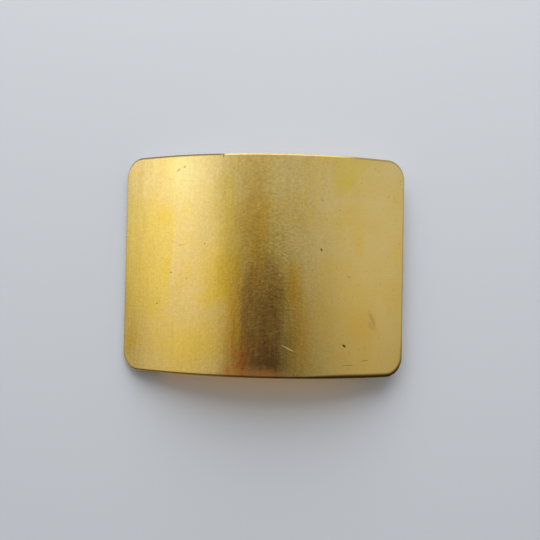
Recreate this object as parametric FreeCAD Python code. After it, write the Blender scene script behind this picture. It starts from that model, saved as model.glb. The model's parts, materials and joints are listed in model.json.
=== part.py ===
"""Curved brass plate buckle for a 45 mm belt, worn at the waist.

The face is a plain brass sheet rolled to a shallow arch, with rounded corners. Soldered behind it are
a folded hook, which takes the slotted end of the belt, and two rolled ears, which carry a swinging
wire frame. The other end of the belt wraps the frame's outer bar and a prong on the hinge bar pins it.

Millimetres. +X is right and +Z is up on the face as worn, and the face looks along -Y. The origin is
the centre of the whole buckle's box.
"""

import FreeCAD
import Part

import math
import os

# Face plate
PLATE_WIDTH = 72.6        # straight across, before the front edge is rounded
PLATE_HEIGHT = 55.0
PLATE_THICKNESS = 1.2
BEND_RADIUS = 80.0        # of the front surface
CORNER_RADIUS = 5.0
FRONT_EDGE_ROUND = 0.6    # the front edge rolls over where the sheet is blanked
BACK_EDGE_ROUND = 0.15

# Hook, folded from strip
HOOK_THICKNESS = 1.3
HOOK_GAP = 4.0            # inside the fold
HOOK_FOOT_WIDTH = 20.0
HOOK_TONGUE_WIDTH = 16.0
HOOK_TIP_WIDTH = 12.0
HOOK_FOOT_START_X = 13.0
HOOK_FOLD_X = 27.4        # where the foot ends and the fold starts
HOOK_TIP_X = 12.0
HOOK_CORNER_RADIUS = 2.5
HOOK_SOLDER_GAP = 0.1

# Hinge: rolled ears round the wire frame
WIRE_DIAMETER = 2.5
RUNNING_CLEARANCE = 0.05  # radial, between the wire and each rolled strip
EAR_THICKNESS = 1.2
EAR_WIDTH = 8.0
EAR_CENTRE_Z = 15.0
EAR_FOOT_LENGTH = 9.0
EAR_CORNER_RADIUS = 1.5
EAR_SOLDER_GAP = 0.1
EAR_WRAP_DEG = 300.0      # how far the strip wraps the wire
HINGE_X = -9.0

# Wire frame
BELT_WIDTH = 45.0
FRAME_WINDOW = BELT_WIDTH + 1.5
FRAME_OUTER_BAR_X = -26.5
FRAME_PLATE_GAP = 0.3     # between the outer bar and the plate when the frame is folded in
FRAME_CORNER_RADIUS = 4.0  # of the wire's centre line
PRONG_SEAT_DEPTH = 0.5    # flat pressed into the outer bar
PRONG_SEAT_LENGTH = 6.0
WIRE_JOINT_Z = 7.0        # where the two ends of the wire meet on the hinge bar
WIRE_JOINT_DEPTH = 0.12
WIRE_JOINT_WIDTH = 0.3

# Prong
PRONG_THICKNESS = 1.0
PRONG_TIP_THICKNESS = 0.8
PRONG_ROOT_WIDTH = 5.0
PRONG_TIP_WIDTH = 3.2
PRONG_TAPER_START = 4.0
PRONG_OVERHANG = 1.8      # past the centre of the outer bar
PRONG_SEAT_CLEARANCE = 0.05
PRONG_WRAP_DEG = 315.0

# Solder
SOLDER_MARGIN = 1.0       # how far a bead spreads past its foot
SOLDER_HEIGHT = 0.75      # how high it stands off the plate
SOLDER_CORNER_RADIUS = 2.0
SOLDER_CREST_ROUND = 0.7

inner_radius = BEND_RADIUS - PLATE_THICKNESS
half_bend = math.asin(PLATE_WIDTH / 2 / BEND_RADIUS)
wire_radius = WIRE_DIAMETER / 2
knuckle_radius = wire_radius + RUNNING_CLEARANCE
hook_foot_outer = inner_radius - HOOK_SOLDER_GAP
hook_middle = hook_foot_outer - HOOK_THICKNESS / 2
hook_fold_middle = (HOOK_GAP + HOOK_THICKNESS) / 2
hook_start_angle = math.asin(HOOK_FOOT_START_X / hook_middle)
hook_fold_angle = math.asin(HOOK_FOLD_X / hook_middle)
ear_foot_outer = inner_radius - EAR_SOLDER_GAP
hinge_radius = ear_foot_outer - EAR_THICKNESS - knuckle_radius
hinge_angle = math.asin(HINGE_X / hinge_radius)
ear_end_angle = hinge_angle + EAR_FOOT_LENGTH / ear_foot_outer
outer_bar_radius = inner_radius - FRAME_PLATE_GAP - wire_radius

# The tongue's back face is the rearmost plane, and the box of the buckle is centred on Y = 0.
tongue_back_from_axis = (
    (hook_middle - hook_fold_middle) * math.cos(hook_fold_angle) - hook_fold_middle - HOOK_THICKNESS / 2
)
bend_axis_y = (BEND_RADIUS + tongue_back_from_axis) / 2


def on_bend(radius, angle):
    """The point at a radius from the bend axis and an angle from the crown, positive towards +X."""
    return FreeCAD.Vector(radius * math.sin(angle), bend_axis_y - radius * math.cos(angle), 0)


def at_x(radius, x):
    """The point of the circle of that radius round the bend axis which lies at x."""
    return on_bend(radius, math.asin(x / radius))


hinge = at_x(hinge_radius, HINGE_X)
outer_bar = at_x(outer_bar_radius, FRAME_OUTER_BAR_X)
frame_length = (outer_bar - hinge).Length


def upright(face, z_low, z_high):
    """A flat face in the XY plane drawn up into a solid between two heights."""
    face = face.copy()
    face.translate(FreeCAD.Vector(0, 0, z_low))
    return face.extrude(FreeCAD.Vector(0, 0, z_high - z_low))


def ring_sector(centre, r_in, r_out, start_deg, end_deg):
    """Flat ring sector in the XY plane, with angles counter-clockwise from +X."""
    def point(radius, degrees):
        turn = math.radians(degrees)
        return centre + FreeCAD.Vector(radius * math.cos(turn), radius * math.sin(turn), 0)

    middle = (start_deg + end_deg) / 2
    outer = Part.Arc(point(r_out, start_deg), point(r_out, middle), point(r_out, end_deg)).toShape()
    inner = Part.Arc(point(r_in, end_deg), point(r_in, middle), point(r_in, start_deg)).toShape()
    last = Part.makeLine(point(r_out, end_deg), point(r_in, end_deg))
    first = Part.makeLine(point(r_in, start_deg), point(r_out, start_deg))
    return Part.Face(Part.Wire([outer, last, inner, first]))


def plate_band(r_in, r_out, start_angle, end_angle):
    """Flat ring sector that follows the plate's bend between two angles from the crown."""
    centre = FreeCAD.Vector(0, bend_axis_y, 0)
    return ring_sector(centre, r_in, r_out, math.degrees(start_angle) - 90, math.degrees(end_angle) - 90)


def round_corners(solid, radius, chosen):
    """Fillets the straight edges that chosen(middle, direction) accepts."""
    edges = []
    for edge in solid.Edges:
        if edge.Curve.TypeId != "Part::GeomLine":
            continue
        ends = [vertex.Point for vertex in edge.Vertexes]
        if chosen((ends[0] + ends[1]) / 2, (ends[1] - ends[0]).normalize()):
            edges.append(edge)
    return solid.makeFillet(radius, edges)


def edges_at(solid, radius):
    """The edges that keep to one distance from the bend axis."""
    found = []
    for edge in solid.Edges:
        distances = [math.hypot(point.x, point.y - bend_axis_y) for point in edge.discretize(5)]
        if max(abs(distance - radius) for distance in distances) < 0.01:
            found.append(edge)
    return found


def make_face_plate():
    half_height = PLATE_HEIGHT / 2
    band = plate_band(inner_radius, BEND_RADIUS, -half_bend, half_bend)
    plate = upright(band, -half_height, half_height)
    plate = round_corners(plate, CORNER_RADIUS, lambda middle, way: abs(way.z) < 0.01)
    plate = plate.makeFillet(FRONT_EDGE_ROUND, edges_at(plate, BEND_RADIUS))
    return plate.makeFillet(BACK_EDGE_ROUND, edges_at(plate, inner_radius))


def make_hook():
    half_foot, half_tongue = HOOK_FOOT_WIDTH / 2, HOOK_TONGUE_WIDTH / 2
    band = plate_band(hook_foot_outer - HOOK_THICKNESS, hook_foot_outer, hook_start_angle, hook_fold_angle)
    foot = upright(band, -half_foot, half_foot)
    foot = round_corners(foot, HOOK_CORNER_RADIUS, lambda middle, way: abs(way.z) < 0.01)

    fold_centre = on_bend(hook_middle - hook_fold_middle, hook_fold_angle)
    fold_start = math.degrees(hook_fold_angle) - 90
    fold = ring_sector(fold_centre, HOOK_GAP / 2, HOOK_GAP / 2 + HOOK_THICKNESS, fold_start, 90)
    fold = upright(fold, -half_tongue, half_tongue)
    tongue = make_hook_tongue(fold_centre.x, fold_centre.y + HOOK_GAP / 2)
    return foot.fuse([fold, tongue]).removeSplitter()


def make_hook_tongue(fold_x, front_y):
    """The hook's flat tongue, tapering from the fold to a rounded tip."""
    half_root, half_tip = HOOK_TONGUE_WIDTH / 2, HOOK_TIP_WIDTH / 2
    outline = [(fold_x, half_root), (HOOK_TIP_X, half_tip), (HOOK_TIP_X, -half_tip), (fold_x, -half_root)]
    corners = [FreeCAD.Vector(x, front_y, z) for x, z in outline]
    tongue = Part.Face(Part.makePolygon(corners + corners[:1])).extrude(FreeCAD.Vector(0, HOOK_THICKNESS, 0))
    return round_corners(
        tongue, HOOK_CORNER_RADIUS, lambda middle, way: abs(way.y) > 0.99 and middle.x < HOOK_TIP_X + 0.1
    )


def make_ear(centre_z):
    z_low, z_high = centre_z - EAR_WIDTH / 2, centre_z + EAR_WIDTH / 2
    wrap_end = math.degrees(hinge_angle) - 90
    wrap_start = wrap_end - EAR_WRAP_DEG
    roll = ring_sector(hinge, knuckle_radius, knuckle_radius + EAR_THICKNESS, wrap_start, wrap_end)
    band = plate_band(ear_foot_outer - EAR_THICKNESS, ear_foot_outer, hinge_angle, ear_end_angle)
    foot = upright(band, z_low, z_high)
    end_x = on_bend(ear_foot_outer, ear_end_angle).x
    foot = round_corners(
        foot, EAR_CORNER_RADIUS, lambda middle, way: abs(way.z) < 0.01 and abs(middle.x - end_x) < 0.5
    )
    return upright(roll, z_low, z_high).fuse(foot).removeSplitter()


def make_solder(part, start_angle, end_angle, width, centre_z):
    """The solder between a foot and the plate, with the bead that stands round the foot."""
    margin_angle = SOLDER_MARGIN / inner_radius
    half_width = width / 2 + SOLDER_MARGIN
    crest = inner_radius - SOLDER_HEIGHT
    band = plate_band(crest, inner_radius, start_angle - margin_angle, end_angle + margin_angle)
    bead = upright(band, centre_z - half_width, centre_z + half_width)
    bead = round_corners(bead, SOLDER_CORNER_RADIUS, lambda middle, way: abs(way.z) < 0.01)
    bead = bead.makeFillet(SOLDER_CREST_ROUND, edges_at(bead, crest))
    return max(bead.cut(part).Solids, key=lambda solid: solid.Volume)


def make_ear_solder(ear, centre_z):
    start_angle = hinge_angle + SOLDER_MARGIN / inner_radius
    return make_solder(ear, start_angle, ear_end_angle, EAR_WIDTH, centre_z)


def behind_plate(shape):
    """Turns and moves a shape from the hinge's own frame into the buckle.

    The hinge's frame has its origin on the hinge axis, +X along the folded-in wire frame towards the
    hook, +Y away from the plate and +Z up.
    """
    lean = math.degrees(math.atan2(hinge.y - outer_bar.y, hinge.x - outer_bar.x))
    turn = FreeCAD.Rotation(FreeCAD.Vector(0, 0, 1), lean)
    return shape.transformed(FreeCAD.Placement(hinge, turn).toMatrix())


def make_belt_frame():
    half_height = FRAME_WINDOW / 2 + wire_radius
    bend = FRAME_CORNER_RADIUS
    up = FreeCAD.Vector(0, 0, 1)
    towards_hook = FreeCAD.Vector(1, 0, 0)
    away = FreeCAD.Vector(0, 1, 0)
    bars = []
    for x in (0, -frame_length):
        start = FreeCAD.Vector(x, 0, bend - half_height)
        bars.append(Part.makeCylinder(wire_radius, 2 * (half_height - bend), start, up))
    for z in (half_height, -half_height):
        start = FreeCAD.Vector(bend - frame_length, 0, z)
        bars.append(Part.makeCylinder(wire_radius, frame_length - 2 * bend, start, towards_hook))
    reach = bend + WIRE_DIAMETER
    for x, side_x in ((-bend, 1), (bend - frame_length, -1)):
        for side_z in (1, -1):
            centre = FreeCAD.Vector(x, 0, side_z * (half_height - bend))
            ring = Part.makeTorus(bend, wire_radius, centre, away)
            low = centre + FreeCAD.Vector(min(0, side_x * reach), -WIRE_DIAMETER, min(0, side_z * reach))
            bars.append(ring.common(Part.makeBox(reach, 2 * WIRE_DIAMETER, reach, low)))
    frame = bars[0].fuse(bars[1:]).removeSplitter()

    seat_y = wire_radius - PRONG_SEAT_DEPTH
    seat = Part.makeBox(
        2 * WIRE_DIAMETER,
        WIRE_DIAMETER,
        PRONG_SEAT_LENGTH,
        FreeCAD.Vector(-frame_length - WIRE_DIAMETER, seat_y, -PRONG_SEAT_LENGTH / 2),
    )
    joint_at = FreeCAD.Vector(0, 0, WIRE_JOINT_Z)
    joint = Part.makeCylinder(wire_radius + 1, WIRE_JOINT_WIDTH, joint_at, up)
    joint = joint.cut(Part.makeCylinder(wire_radius - WIRE_JOINT_DEPTH, WIRE_JOINT_WIDTH, joint_at, up))
    return behind_plate(frame.cut([seat, joint]))


def make_prong():
    half_root, half_tip = PRONG_ROOT_WIDTH / 2, PRONG_TIP_WIDTH / 2
    tip_x = -frame_length - PRONG_OVERHANG
    seat_y = wire_radius - PRONG_SEAT_DEPTH + PRONG_SEAT_CLEARANCE
    slope = (knuckle_radius - seat_y) / (frame_length + wire_radius)
    tip_y = knuckle_radius + slope * tip_x
    side_view = Part.makePolygon(
        [
            FreeCAD.Vector(0, knuckle_radius, 0),
            FreeCAD.Vector(0, knuckle_radius + PRONG_THICKNESS, 0),
            FreeCAD.Vector(tip_x, tip_y + PRONG_TIP_THICKNESS, 0),
            FreeCAD.Vector(tip_x, tip_y, 0),
            FreeCAD.Vector(0, knuckle_radius, 0),
        ]
    )
    blade = upright(Part.Face(side_view), -half_root, half_root)

    root, taper_start = FreeCAD.Vector(0, 0, half_root), FreeCAD.Vector(-PRONG_TAPER_START, 0, half_root)
    tip_start, tip = FreeCAD.Vector(tip_x + half_tip, 0, half_tip), FreeCAD.Vector(tip_x, 0, 0)
    lower_root, lower_taper_start, lower_tip_start = (
        FreeCAD.Vector(point.x, 0, -point.z) for point in (root, taper_start, tip_start)
    )
    taper = [
        Part.makeLine(root, taper_start),
        Part.makeLine(taper_start, tip_start),
        Part.Arc(tip_start, tip, lower_tip_start).toShape(),
        Part.makeLine(lower_tip_start, lower_taper_start),
        Part.makeLine(lower_taper_start, lower_root),
        Part.makeLine(lower_root, root),
    ]
    outline = Part.Face(Part.Wire(taper)).extrude(FreeCAD.Vector(0, 3 * WIRE_DIAMETER, 0))
    knuckle = ring_sector(
        FreeCAD.Vector(0, 0, 0), knuckle_radius, knuckle_radius + PRONG_THICKNESS, 90 - PRONG_WRAP_DEG, 90
    )
    knuckle = upright(knuckle, -half_root, half_root)
    return behind_plate(knuckle.fuse(blade.common(outline)).removeSplitter())


def main():
    os.makedirs("parts", exist_ok=True)
    hook = make_hook()
    upper_ear = make_ear(EAR_CENTRE_Z)
    lower_ear = make_ear(-EAR_CENTRE_Z)
    parts = {
        "face_plate": make_face_plate(),
        "hook": hook,
        "hook_solder": make_solder(hook, hook_start_angle, hook_fold_angle, HOOK_FOOT_WIDTH, 0),
        "upper_ear": upper_ear,
        "lower_ear": lower_ear,
        "upper_ear_solder": make_ear_solder(upper_ear, EAR_CENTRE_Z),
        "lower_ear_solder": make_ear_solder(lower_ear, -EAR_CENTRE_Z),
        "belt_frame": make_belt_frame(),
        "prong": make_prong(),
    }
    for name, shape in parts.items():
        shape.exportStep(f"parts/{name}.step")


main()
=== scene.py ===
import json
import math

import bmesh
import bpy
import numpy as np
from mathutils import Matrix, Vector


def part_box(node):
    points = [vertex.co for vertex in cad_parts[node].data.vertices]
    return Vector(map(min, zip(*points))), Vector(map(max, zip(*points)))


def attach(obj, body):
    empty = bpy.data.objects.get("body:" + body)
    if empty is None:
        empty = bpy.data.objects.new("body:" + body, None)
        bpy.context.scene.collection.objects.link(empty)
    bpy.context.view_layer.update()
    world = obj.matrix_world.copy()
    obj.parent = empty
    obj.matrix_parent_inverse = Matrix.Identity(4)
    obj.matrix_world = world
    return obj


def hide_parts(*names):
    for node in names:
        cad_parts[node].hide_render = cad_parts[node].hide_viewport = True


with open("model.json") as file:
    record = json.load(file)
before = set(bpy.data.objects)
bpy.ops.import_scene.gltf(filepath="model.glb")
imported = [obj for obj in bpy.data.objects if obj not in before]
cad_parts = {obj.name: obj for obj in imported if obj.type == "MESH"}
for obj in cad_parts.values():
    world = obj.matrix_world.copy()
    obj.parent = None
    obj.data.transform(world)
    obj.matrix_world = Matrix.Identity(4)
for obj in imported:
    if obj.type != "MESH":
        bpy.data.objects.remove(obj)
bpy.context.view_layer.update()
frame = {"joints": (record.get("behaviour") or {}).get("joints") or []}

# Lengths are in millimetres, in the row frame, until a mesh, a light or the camera is made.
MM = 0.001


def box_mm(node):
    """The low and high corners of a CAD node's box."""
    low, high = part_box(node)
    return low / MM, high / MM


plate_low, plate_high = box_mm("face_plate")
hook_low, hook_high = box_mm("hook")
ear_low, ear_high = box_mm("upper_ear")
frame_low, frame_high = box_mm("belt_frame")
prong_low, prong_high = box_mm("prong")
hinge_x, hinge_y = (coordinate / MM for coordinate in frame["joints"][0]["pos_m"][:2])

# Face plate
BEND_RADIUS = 80.0
BLANK_WIDTH = 72.6
PLATE_THICKNESS = 1.2
CORNER_RADIUS = 5.0
FRONT_ROUND = 0.6
BACK_ROUND = 0.15
INNER_RADIUS = BEND_RADIUS - PLATE_THICKNESS
AXIS_Y = plate_low.y + BEND_RADIUS
HALF_SHEET = BEND_RADIUS * math.asin(BLANK_WIDTH / 2 / BEND_RADIUS)

# Strips and wire
SOLDER_GAP = 0.1
HOOK_THICKNESS = 1.3
HOOK_FOOT_START_X = 13.0
HOOK_FOLD_X = 27.4
HOOK_FOLD_RADIUS = 2.65        # of the strip's middle
HOOK_TONGUE_HALF = 8.0
HOOK_TIP_HALF = 6.0
HOOK_CORNER = 2.5
WIRE_RADIUS = 1.25
KNUCKLE_RADIUS = 1.3           # inside the rolled strips, round the wire
EAR_THICKNESS = 1.2
EAR_FOOT_LENGTH = 9.0
EAR_WRAP_DEG = 300.0
EAR_CORNER = 1.5
FRAME_CORNER = 4.0             # of the wire's middle line
SEAT_DEPTH = 0.5               # flat pressed into the outer bar for the prong
SEAT_HALF = 3.0
WIRE_JOINT_Z = 7.0             # where the ends of the wire meet
PRONG_THICKNESS = 1.0
PRONG_TIP_THICKNESS = 0.8
PRONG_TIP_HALF = 1.6
PRONG_TAPER_START = 4.0
PRONG_WRAP_DEG = 315.0
SEAT_CLEARANCE = 0.05

outer_bar = np.array([frame_low.x + WIRE_RADIUS, frame_high.y - WIRE_RADIUS])
hinge = np.array([hinge_x, hinge_y])
frame_length = float(np.linalg.norm(outer_bar - hinge))
frame_lean = math.atan2(*(hinge - outer_bar)[::-1])
hook_middle = INNER_RADIUS - SOLDER_GAP - HOOK_THICKNESS / 2
hook_start_angle = math.asin(HOOK_FOOT_START_X / hook_middle)
hook_fold_angle = math.asin(HOOK_FOLD_X / hook_middle)
ear_middle = INNER_RADIUS - SOLDER_GAP - EAR_THICKNESS / 2
ear_angle = math.asin(hinge_x / (ear_middle - EAR_THICKNESS / 2 - KNUCKLE_RADIUS))
ear_end_angle = ear_angle + EAR_FOOT_LENGTH / (ear_middle + EAR_THICKNESS / 2)
ear_centre = (ear_low.z + ear_high.z) / 2
ear_half = (ear_high.z - ear_low.z) / 2


# ---------------------------------------------------------------- node trees


class Tree:
    """A node tree written as calls. A method adds its nodes and returns an output socket."""

    def __init__(self, owner):
        owner.use_nodes = True
        self.nodes = owner.node_tree.nodes
        self.links = owner.node_tree.links
        self.nodes.clear()

    def add(self, kind, inputs=None, output=0, **settings):
        node = self.nodes.new(kind)
        for name, value in settings.items():
            setattr(node, name, value)
        for name, value in (inputs or {}).items():
            if isinstance(value, bpy.types.NodeSocket):
                self.links.new(value, node.inputs[name])
            else:
                node.inputs[name].default_value = value
        return node.outputs[output] if node.outputs else None

    def math(self, operation, *values):
        return self.add("ShaderNodeMath", dict(enumerate(values)), operation=operation)

    def product(self, first, second):
        return self.math("MULTIPLY", first, second)

    def sum(self, first, *terms):
        """Adds up values; a pair counts as a product."""
        total = first
        for term in terms:
            if isinstance(term, tuple):
                term = self.product(*term)
            total = self.math("ADD", total, term)
        return total

    def vector(self, operation, *values, output=0):
        return self.add("ShaderNodeVectorMath", dict(enumerate(values)), output, operation=operation)

    def length(self, vector):
        return self.vector("LENGTH", vector, output="Value")

    def split(self, vector):
        node = self.nodes.new("ShaderNodeSeparateXYZ")
        self.links.new(vector, node.inputs[0])
        return node.outputs

    def step(self, value, low, high, to_low=0.0, to_high=1.0):
        """Smooth step of a value from low to high."""
        inputs = {"Value": value, "From Min": low, "From Max": high, "To Min": to_low, "To Max": to_high}
        return self.add("ShaderNodeMapRange", inputs, interpolation_type="SMOOTHSTEP")

    def noise(self, position, size, detail=2.0, stretch=(1, 1, 1), roughness=0.5, output=0):
        """Noise whose features are about size across, in the units of position; stretch lengthens them."""
        scale = self.vector("DIVIDE", position, tuple(stretch))
        inputs = {"Vector": scale, "Scale": 1 / size, "Detail": detail, "Roughness": roughness}
        return self.add("ShaderNodeTexNoise", inputs, output)

    def mix(self, factor, first, second):
        """Blends two colours."""
        node = self.nodes.new("ShaderNodeMix")
        node.data_type = "RGBA"
        for index, value in ((0, factor), (6, first), (7, second)):
            if isinstance(value, bpy.types.NodeSocket):
                self.links.new(value, node.inputs[index])
            elif index == 0:
                node.inputs[index].default_value = value
            else:
                node.inputs[index].default_value = (*value, 1)
        return node.outputs[2]

    def blob(self, position, centre, radii, turn_deg=0.0, softness=0.5):
        """1 inside a turned ellipse of a flat position, fading to 0 at its rim."""
        inputs = {
            "Vector": position,
            "Location": (*centre, 0),
            "Rotation": (0, 0, math.radians(turn_deg)),
            "Scale": (*radii, 1),
        }
        local = self.add("ShaderNodeMapping", inputs, vector_type="TEXTURE")
        return self.step(self.length(local), 1.0, 1.0 - softness)

    def cut(self, position, through, facing_deg, feather):
        """1 on the side of a line that faces the given way, fading to 0 across the feather."""
        turn = math.radians(facing_deg)
        facing = (math.cos(turn), math.sin(turn), 0)
        offset = through[0] * facing[0] + through[1] * facing[1]
        along = self.vector("DOT_PRODUCT", position, facing, output="Value")
        return self.step(along, offset - feather, offset + feather)


def principled(tree, colour, metallic, roughness, height, bump_mm, **more):
    """Gives a material its surface; a height of 1 stands bump_mm high."""
    bump = tree.add("ShaderNodeBump", {"Strength": 1.0, "Distance": bump_mm * MM, "Height": height})
    inputs = {"Base Color": colour, "Metallic": metallic, "Roughness": roughness, "Normal": bump, **more}
    shader = tree.add("ShaderNodeBsdfPrincipled", inputs)
    tree.add("ShaderNodeOutputMaterial", {"Surface": shader})


def millimetres(tree):
    """The shaded point in the piece's own frame, which at rest is the row frame, in millimetres."""
    place = tree.add("ShaderNodeTexCoord", output="Object")
    return tree.add("ShaderNodeVectorMath", {0: place, "Scale": 1 / MM}, operation="SCALE")


def new_material(name):
    """A material and the tree of its nodes."""
    material = bpy.data.materials.new(name)
    return material, Tree(material)


# ---------------------------------------------------------------- materials

BRASS = (0.87, 0.62, 0.17)
BRASS_PALE = (0.89, 0.66, 0.24)
BRASS_CREAM = (0.91, 0.76, 0.29)
BRASS_YELLOW = (0.90, 0.64, 0.10)
BRASS_GOLD = (0.90, 0.59, 0.05)
BRASS_GREEN = (0.84, 0.62, 0.06)
BRASS_OLIVE = (0.83, 0.55, 0.05)
BRASS_TAN = (0.84, 0.59, 0.11)
BRASS_ORANGE = (0.88, 0.50, 0.06)
BRASS_AMBER = (0.90, 0.52, 0.07)
BRASS_BRONZE = (0.74, 0.43, 0.06)
BRASS_COPPER = (0.82, 0.30, 0.05)
BRASS_RED = (0.88, 0.36, 0.11)
BRASS_BROWN = (0.62, 0.34, 0.085)
BRASS_UMBER = (0.60, 0.29, 0.11)
BRASS_DIRTY = (0.34, 0.22, 0.07)
# The darkest colours also paint shade on the rolled rim, besides grime and dirt in pits.
BRASS_SOOT_AND_SHADE = (0.13, 0.075, 0.02)
RIM_OLIVE = (0.26, 0.215, 0.10)

# Stains on the face, and one painted highlight, in millimetres right and up of its middle: colour,
# strength, centre, half-widths, turn in degrees, softness of the rim, and straight cuts. A cut is a point,
# the way the kept side lies from it in degrees, and its feather.
STAINS_AND_HIGHLIGHT = (
    (BRASS_TAN, 0.90, (1.0, -4.0), (9.0, 28.0), 0, 0.9, ()),
    (BRASS_BROWN, 0.85, (1.0, -14.5), (9.0, 20.0), 0, 0.35,
     (((-4.9, 0), 0, 0.6), ((6.2, -3.0), 175.7, 0.8))),
    (BRASS_YELLOW, 0.60, (-29.0, 0.5), (15.0, 19.0), 0, 0.5, (((-22.7, 0), 174.5, 0.5),)),
    (BRASS_GOLD, 0.40, (-24.6, 12.3), (3.6, 4.2), 15, 0.9, (((-22.3, 9), 174.5, 0.6),)),
    (BRASS_GOLD, 0.60, (-24.2, -1.1), (1.0, 6.5), -5, 0.9, (((-23.2, 0), 174.5, 0.4),)),
    (BRASS_OLIVE, 0.85, (-7.6, -3.0), (8.5, 12.0), 0, 0.8,
     (((-7.0, -11.2), 90, 0.7), ((-4.6, 0), 180, 0.6))),
    (BRASS_AMBER, 1.00, (-6.0, -13.0), (4.2, 20.0), 0, 0.9, (((-4.4, 0), 180, 0.8),)),
    (BRASS_GOLD, 0.55, (-11.8, -7.4), (6.0, 3.6), 25, 0.9, (((-7.0, -11.0), 90, 0.7),)),
    (BRASS_OLIVE, 0.60, (-7.5, 12.0), (4.5, 17.0), 0, 0.9, ()),
    (BRASS_BRONZE, 0.80, (-1.6, 9.0), (6.0, 23.0), 0, 0.9, (((1.9, 0), 180, 0.9),)),
    (BRASS_ORANGE, 0.45, (0.9, 10.0), (2.2, 9.5), 0, 0.9, ()),
    (BRASS_ORANGE, 0.85, (8.4, -5.6), (4.0, 9.5), 4, 0.85, (((6.4, 0), 0, 0.6),)),
    (BRASS_AMBER, 0.70, (9.6, -17.5), (5.5, 14.0), 0, 0.9, ()),
    (BRASS_UMBER, 0.70, (1.2, -23.0), (7.5, 10.0), 0, 0.9, ()),
    (BRASS_COPPER, 0.75, (-4.8, -24.5), (5.5, 11.5), -8, 1.0, ()),
    (BRASS_GREEN, 0.45, (21.5, 24.0), (10.0, 9.0), 0, 0.4,
     (((17.6, 0), 0, 0.6), ((25.0, 23.3), 141.6, 0.6))),
    (BRASS_GREEN, 0.30, (21.6, 20.8), (2.2, 3.2), -38, 0.8, (((25.0, 23.3), 141.6, 0.6),)),
    (BRASS_GOLD, 0.30, (24.0, 6.0), (2.4, 5.8), 12, 0.9, ()),
    (BRASS_ORANGE, 0.25, (25.0, -14.5), (5.5, 6.5), 0, 0.9, ()),
    (BRASS_BROWN, 0.35, (27.7, -13.4), (1.1, 3.0), 24, 0.6, ()),
    # A painted highlight, not a stain: the pale patch where the window's light is brightest.
    (BRASS_CREAM, 0.75, (-19.8, 22.5), (7.0, 10.5), 0, 1.0, ()),
    (BRASS_ORANGE, 0.35, (-31.4, 23.2), (1.8, 1.6), 0, 0.9, ()),
    (BRASS_OLIVE, 0.60, (-33.5, -19.5), (2.6, 7.0), 0, 0.9, ()),
    (BRASS_YELLOW, 0.60, (-17.0, -20.0), (12.0, 7.5), 0, 0.9, ()),
)
STAIN_WANDER = 4.5             # how far the rims of the stains wander, in millimetres
CUT_WANDER = 1.1               # the same for straight cuts

# Copper-red tarnish along the lower edge, in the same millimetres
TARNISH_CENTRE = (0.0, -28.3)
TARNISH_HALF = (14.0, 4.2)

# Marks on the face, in the same millimetres: centre, half-widths, turn, and depth, which is below 0 for a
# raised burr
MARKS = (
    ((7.1, -20.2), (2.3, 0.16), -27, -1.6),
    ((20.8, -19.5), (0.68, 0.36), -38, 3.0),
    ((14.8, 4.0), (0.28, 0.55), 25, 2.0),
    ((21.9, -24.3), (1.9, 0.14), 4, 1.0),
    ((26.0, -23.2), (1.3, 0.13), 6, 1.0),
    ((28.0, -13.4), (0.22, 2.1), 24, 0.45),
    ((27.3, -13.2), (0.22, 1.9), 24, -0.4),
    ((-21.2, 23.6), (0.75, 0.22), 40, 1.3),
    ((-19.6, 24.3), (0.55, 0.22), 40, 1.3),
    ((-20.2, 4.7), (1.3, 0.12), 10, 0.8),
    ((-9.7, 8.8), (0.40, 0.25), 0, -0.8),
    ((-22.7, -2.2), (0.30, 0.30), 0, 1.4),
    ((-18.5, -3.6), (0.22, 0.22), 0, 1.4),
    ((-26.4, -10.1), (0.40, 0.24), 40, 1.4),
    ((-13.9, 5.0), (0.30, 0.30), 0, 0.9),
    ((-9.6, 26.9), (0.22, 0.50), 0, 2.0),
)


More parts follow.
